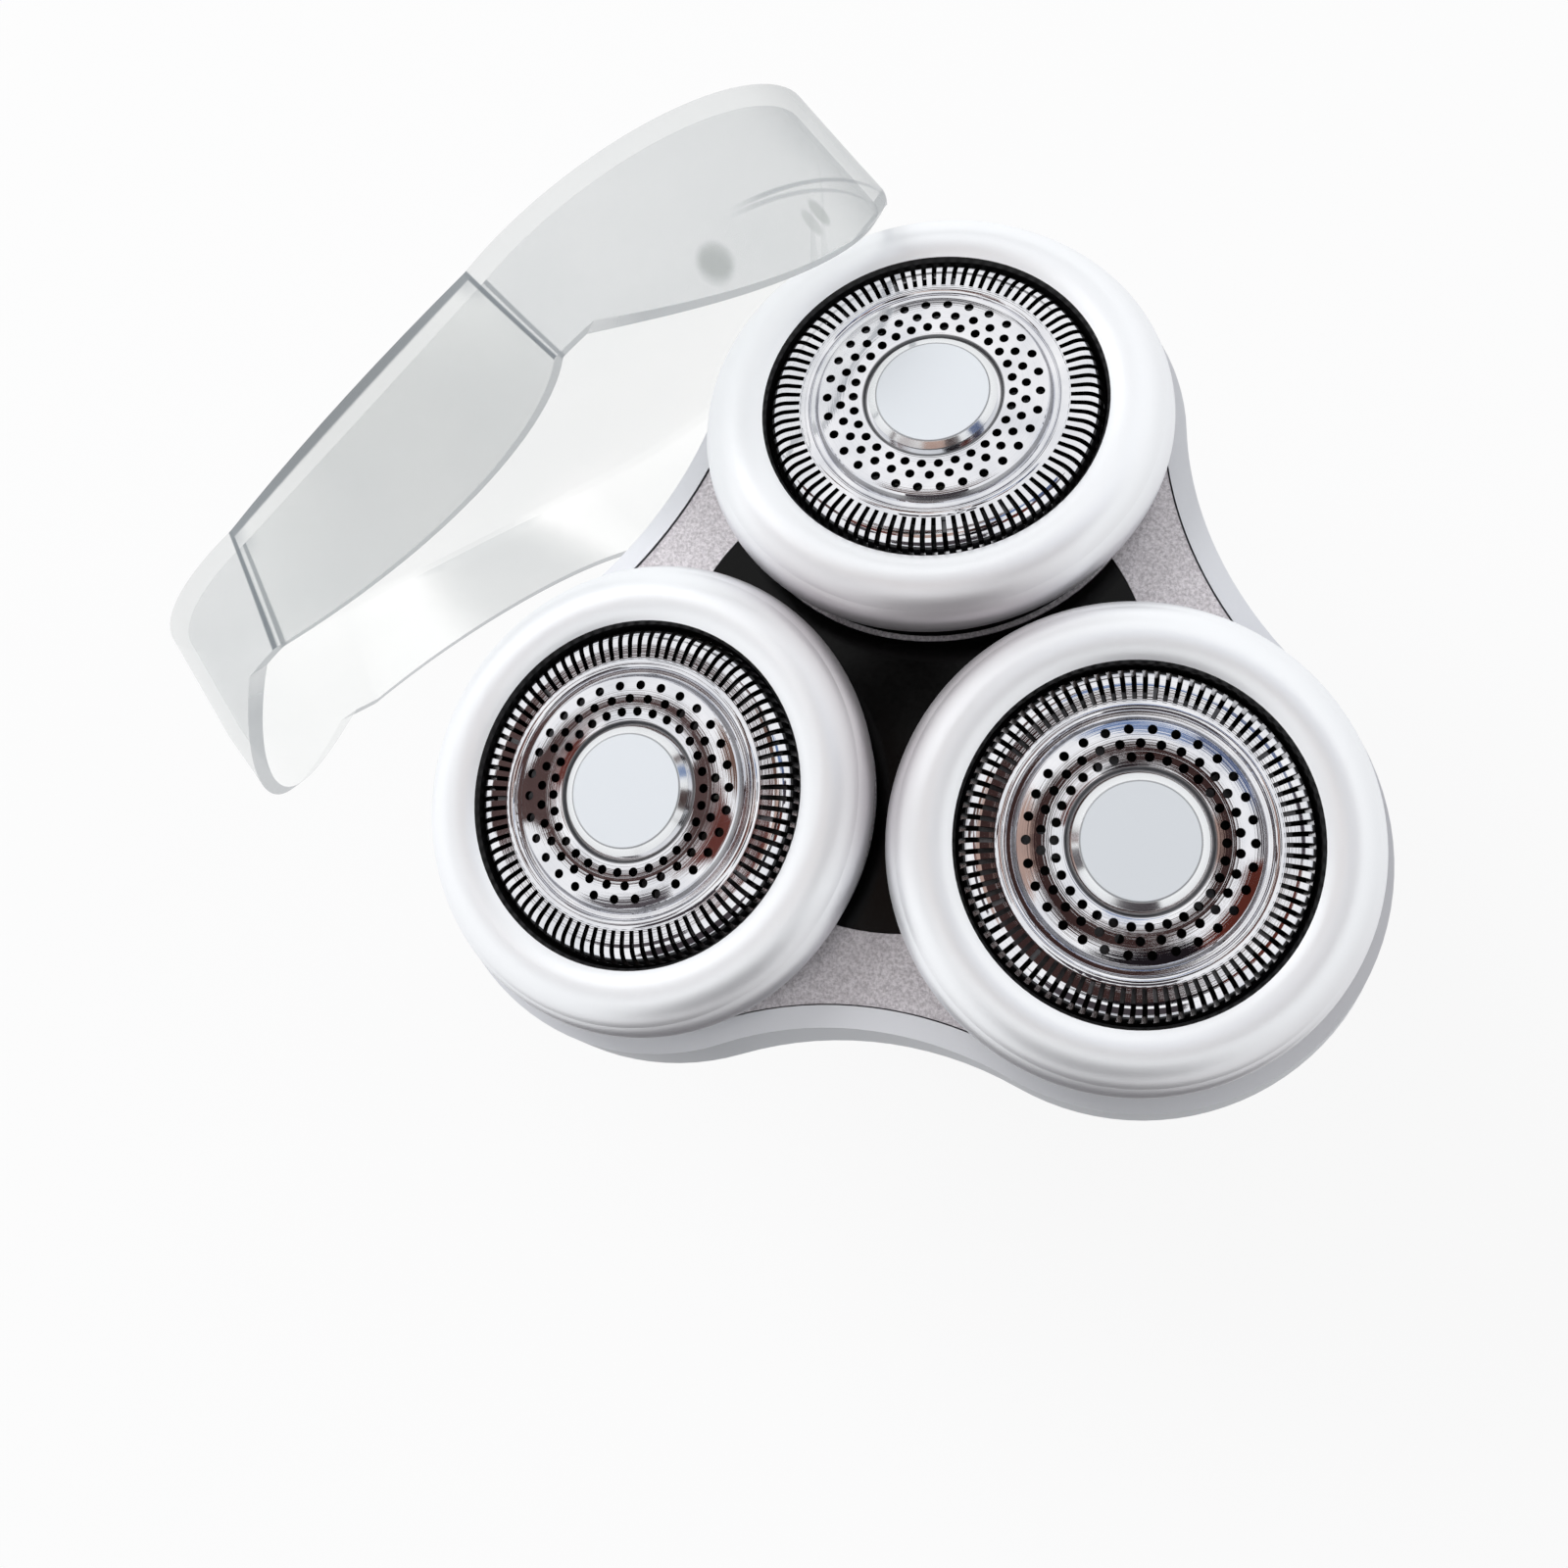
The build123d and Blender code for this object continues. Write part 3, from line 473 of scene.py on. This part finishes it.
def cap_frame():
    """The cap's own frame: its turn, and its origin in the middle of the rim."""
    turn = (Matrix.Rotation(math.radians(CAP_AXIS_AZIMUTH), 3, "Z")
            @ Matrix.Rotation(math.radians(90 - CAP_AXIS_RISE), 3, "Y")
            @ Matrix.Rotation(math.radians(CAP_ROLL), 3, "Z"))
    axis = turn.col[2]
    vertices = frame["nodes"]["protective_cap"].data.vertices
    closed_face = max(axis.dot(v.co) for v in vertices)
    height = (closed_face - CAP_DEPTH - axis.x * CAP_X - axis.y * CAP_Y) / axis.z
    return turn, Vector((CAP_X, CAP_Y, height))


def from_lobe(m, flat, head):
    """Direction of a point from the middle of a lobe's arc."""
    centre = tuple(c * CAP_LOBE_DISTANCE for c in out_and_across(head)[0])
    return m.vector("NORMALIZE", m.vector("SUBTRACT", flat, centre))


def cap_grip(m, flat, z):
    """Painted shade masks on the lobe nearer the head: far end, the grip's fold, two spots under
    it.
    """
    out, across = out_and_across(GRIP_LOBE)
    ray = from_lobe(m, flat, GRIP_LOBE)
    here = m.step(m.dot(ray, out), *GRIP_LOBE_FADE)
    place = m.dot(ray, across)
    far_end = m.product(m.step(place, *FAR_END_FADE), here)
    away = m.math("SUBTRACT", place, FOLD_PLACE)
    fold_level = m.math("SUBTRACT", FOLD_LEVEL, m.product(away, away, FOLD_BEND))
    off_fold = m.math("ABSOLUTE", m.math("SUBTRACT", z, fold_level))
    fold = m.product(m.below(off_fold, *FOLD_WIDTH_FADE), m.step(place, *FOLD_END_FADE), here)
    spot_shades = []
    for middle, level, half_width, half_height in SHADE_SPOTS:
        dx = m.math("DIVIDE", m.math("SUBTRACT", place, middle), half_width)
        dz = m.math("DIVIDE", m.math("SUBTRACT", z, level), half_height)
        reach = m.math("ADD", m.product(dx, dx), m.product(dz, dz))
        spot_shades.append(m.product(m.below(reach, *SHADE_SPOT_FADE), here))
    return far_end, fold, m.largest(*spot_shades)


def cap_plastic():
    """Frosted translucent plastic with painted glow, and painted shade at its creases and closed
    edge.
    """
    m = Mat("cap_frosted")
    turn, origin = cap_frame()
    local = m.placed(origin, turn.to_euler("XYZ"))
    z = m.split(local)[2]
    flat = m.vector("MULTIPLY", local, (1, 1, 0))

    # How far inside the nearest lobe's arc a point lies: 0 at the creases, more inside
    lobe = m.largest(*(m.dot(from_lobe(m, flat, head), out_and_across(head)[0])
                       for head in HEADS))
    crease = m.span(z, 0.0, CAP_DEPTH / MM, math.cos(math.radians(CAP_CREASE_AT_RIM)),
                    math.cos(math.radians(CAP_CREASE_AT_TOP)))
    inside_lobe = m.math("SUBTRACT", lobe, crease)
    on_lobe = m.step(inside_lobe, *LOBE_FADE)
    panel = m.inverse(on_lobe)
    # Painted shade: dark lines along the creases and the closed face's edge, darker corners by
    # the creases
    line = m.below(m.math("ABSOLUTE", inside_lobe), *CREASE_FADE)
    closed_edge = m.product(m.step(z, *CLOSED_EDGE_FADE), panel)
    corner = m.product(m.step(z, *CORNER_LEVEL_FADE), m.step(inside_lobe, *CORNER_PLACE_FADE),
                       panel)
    far_end, fold, spot_shade = cap_grip(m, flat, z)

    # Outer faces look away from the cap's axis, and the rim and the closed side along it
    faces = m.facing(turn, m.normal())
    outer = m.step(m.dot(m.combine(*faces), m.vector("NORMALIZE", flat)), *OUTER_FADE)
    along = faces[2]
    rim_face = m.product(m.step(m.product(along, -1.0), *RIM_FACE_FADE),
                         m.below(z, *RIM_LEVEL_FADE))
    closed_side = m.step(along, *CLOSED_SIDE_FADE)
    flat_face = m.step(m.math("ABSOLUTE", along), *FLAT_FACE_FADE)

    fine = m.noise(local, 5.0, detail=3.0)
    mixed = m.weigh((fine, 0.2), (m.noise(local, 0.07), 0.8))
    colour = m.blend(on_lobe, m.grained(mixed, (184, 188, 189), (198, 201, 200)),
                     m.grained(mixed, (182, 186, 188), (197, 199, 200)))
    marks = (    # painted shade: mask, how far it colours, its colour, how much more it hides
        (far_end, 0.85, (140, 145, 148), 0.24),
        (corner, 0.8, (136, 142, 148), 0.2),
        (spot_shade, 0.7, (140, 146, 144), 0.25),
        (fold, 0.8, (138, 143, 147), 0.3),
        (line, 1.0, (108, 115, 121), 0.52),
        (closed_edge, 1.0, (116, 123, 128), 0.48),
    )
    for mask, share, shade_colour, _cover in marks:
        colour = m.blend(m.product(mask, share), colour, linear(shade_colour))
    # Painted light: faces inside the cap are near white, as if lit through the frosted walls
    colour = m.blend(outer, m.grained(mixed, (246, 248, 247), (253, 253, 252)), colour)
    colour = m.blend(m.product(rim_face, 0.8), colour, linear((160, 165, 170)))
    colour = m.blend(closed_side, colour, m.grained(mixed, (186, 190, 191), (200, 202, 202)))
    cover = m.largest(*(m.product(mask, more) for mask, _share, _colour, more in marks))
    cover = m.largest(m.product(cover, outer), m.product(rim_face, 0.3))
    # Painted glow: the cap gives off its own colour as light, and its base colour is held back
    m.shade(Base_Color=m.vector("MULTIPLY", colour, (1 - CAP_SHADE,) * 3),
            Emission_Color=colour, Emission_Strength=CAP_PAINTED_GLOW,
            Alpha=m.math("ADD", cover, CAP_ALPHA),
            Roughness=m.largest(m.varied(fine, 0.12, 0.34), flat_face),
            Normal=m.bump(fine, 0.000005), Specular_IOR_Level=0.1)
    return m.material


materials = {
    # The housing's paler top colour is painted light from above
    "satin_grey_plastic": moulded("housing_silver", (180, 184, 191), (168, 172, 179), 6.0, 0.34,
                                  metallic=0.5, bump=0.000006, top=(213, 215, 220)),
    "black_gloss": moulded("black_gloss", (6, 6, 6), (3, 3, 3), 3.0, 0.16, bump=0.000003,
                           specular=0.15),
    "black_plastic": moulded("black_moulded", (30, 30, 31), (18, 18, 19), 8.0, 0.5),
    "inner_plastic": moulded("acetal", (226, 224, 216), (208, 206, 198), 5.0, 0.4),
    "cutter_steel": metal("cutter_steel", (120, 121, 124), 0.28),
    "shaft_steel": metal("shaft_steel", (180, 180, 184), 0.25),
    "screw_steel": metal("screw_steel", (165, 165, 170), 0.3),
    "spring_steel": metal("spring_steel", (140, 140, 146), 0.3),
    "bush_bronze": metal("bush_bronze", (186, 142, 86), 0.35),
    "seal_rubber": moulded("seal_rubber", (28, 28, 28), (18, 18, 18), 6.0, 0.7),
    "cap_plastic": cap_plastic(),
}
by_node = {"top_frame": sandy("web_silver", (226, 222, 226), (172, 167, 172), 0.42, 0.5)}
for head in HEADS:
    by_node[f"ring_{head}"] = ring_silver(f"ring_silver_{head}", head)
    by_node[f"guard_{head}"] = polished(f"guard_steel_{head}", head)
    by_node[f"guard_disc_{head}"] = disc_silver(f"disc_silver_{head}", head)
slot_of = {part["node"]: part["material_slot"] for part in frame["record"]["subparts"]}
for node, obj in frame["nodes"].items():
    chosen = by_node.get(node) or materials[slot_of[node]]
    for slot in obj.material_slots:
        slot.material = chosen


def squashing_spring(head):
    """The spindle's spring again, as a copy of its mesh, with the part itself hidden."""
    node = frame["nodes"][f"spindle_spring_{head}"]
    coils = bpy.data.objects.new(f"spring_coils_{head}", node.data.copy())
    bpy.context.scene.collection.objects.link(coils)
    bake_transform(coils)
    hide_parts(f"spindle_spring_{head}")


for head in HEADS:
    squashing_spring(head)


def floor():
    """Pale floor, nearly white where it is seen, which keeps the object's shadow."""
    bpy.ops.mesh.primitive_plane_add(size=FLOOR_SIZE, location=(0, 0, FLOOR_LEVEL))
    plane = bpy.context.object
    plane.name = "floor"
    m = Mat("floor_white")
    m.shade(Base_Color=(0.6, 0.6, 0.61, 1), Roughness=0.9)
    mix = m.add("ShaderNodeMixShader")
    glow = m.add("ShaderNodeEmission")
    for socket, value in zip(mix.inputs, (m.product(m.seen(), FLOOR_GLOW),
                                          m.shader.outputs[0], glow.outputs[0])):
        m.put(socket, value)
    m.put(m.out.inputs["Surface"], mix.outputs[0])
    plane.data.materials.append(m.material)


def card(name, direction, width, height, colour, turn=0.0):
    """A coloured studio card beyond the object, seen only in its reflections."""
    bpy.ops.mesh.primitive_plane_add(size=1)
    obj = bpy.context.object
    obj.name = name
    d = Vector(direction).normalized()
    facing = (d.to_track_quat("Z", "Y").to_matrix()
              @ Matrix.Rotation(math.radians(turn), 3, "Z"))
    obj.location = STAGE_CENTRE + d * CARD_DISTANCE
    obj.rotation_euler = facing.to_euler()
    obj.scale = (width, height, 1)
    m = Mat(name)
    m.nodes.remove(m.shader)
    glow = m.add("ShaderNodeEmission")
    m.fill(glow, Color=linear(colour))
    m.put(m.out.inputs["Surface"], glow.outputs[0])
    obj.data.materials.append(m.material)
    obj.visible_camera = False
    obj.visible_shadow = False
    obj.visible_diffuse = False
    obj.visible_transmission = False


def card_flat(name, direction, near, far, width, colour):
    """The same, lying just over the floor on one side of the object."""
    d = Vector((*direction, 0)).normalized()
    card(name, (0, 0, 1), width, far - near, colour)
    obj = bpy.context.scene.objects[name]
    obj.location = d * (near + far) / 2 + Vector((0, 0, CARD_LIFT))
    obj.rotation_euler = (0, 0, math.atan2(d.y, d.x) - math.pi / 2)


def lamp(name, location, size, power):
    """A round soft lamp that points at the object and shows in no reflection."""
    light = bpy.data.lights.new(name, "AREA")
    light.shape = "DISK"
    light.size = size
    light.energy = power
    obj = bpy.data.objects.new(name, light)
    obj.location = location
    towards = STAGE_CENTRE - Vector(location)
    obj.rotation_euler = towards.to_track_quat("-Z", "Y").to_euler()
    obj.visible_glossy = False
    bpy.context.scene.collection.objects.link(obj)


def surround():
    """White surround where it is seen or mirrored; its light is softer, mostly from one side."""
    world = bpy.data.worlds.new("studio")
    bpy.context.scene.world = world
    world.use_nodes = True
    n = Nodes(world.node_tree)
    towards = n.dot(n.add("ShaderNodeTexCoord").outputs["Generated"],
                    tuple(Vector(BRIGHT_SIDE).normalized()))
    light = n.span(towards, *BRIGHT_SPREAD, SURROUND_DIM, SURROUND_BRIGHT)
    strength = n.add("ShaderNodeMix")
    for place, value in ((0, n.seen()), (2, light), (3, 1.0)):
        n.put(strength.inputs[place], value)
    background = n.add("ShaderNodeBackground")
    n.fill(background, Color=(1, 1, 1, 1), Strength=strength.outputs[0])
    out = n.add("ShaderNodeOutputWorld")
    n.put(out.inputs["Surface"], background.outputs[0])


def photo_camera():
    """The camera, where the photograph was taken from."""
    data = bpy.data.cameras.new("camera")
    data.sensor_width = SENSOR
    data.lens = LENS
    data.clip_start = CAMERA_CLIP
    obj = bpy.data.objects.new("camera", data)
    obj.location = (CAMERA_X, CAMERA_Y, CAMERA_OVER_RINGS + RING_PLANE)
    obj.rotation_euler = CAMERA_TURN
    bpy.context.scene.collection.objects.link(obj)
    bpy.context.scene.camera = obj


floor()
for settings in CARDS:
    card(*settings)
card_flat("card_floor", (0.0, -1.0), 0.04, 0.35, 0.14, (84, 80, 84))
for settings in LAMPS:
    lamp(*settings)
surround()
photo_camera()
bpy.context.scene.view_settings.view_transform = "Standard"
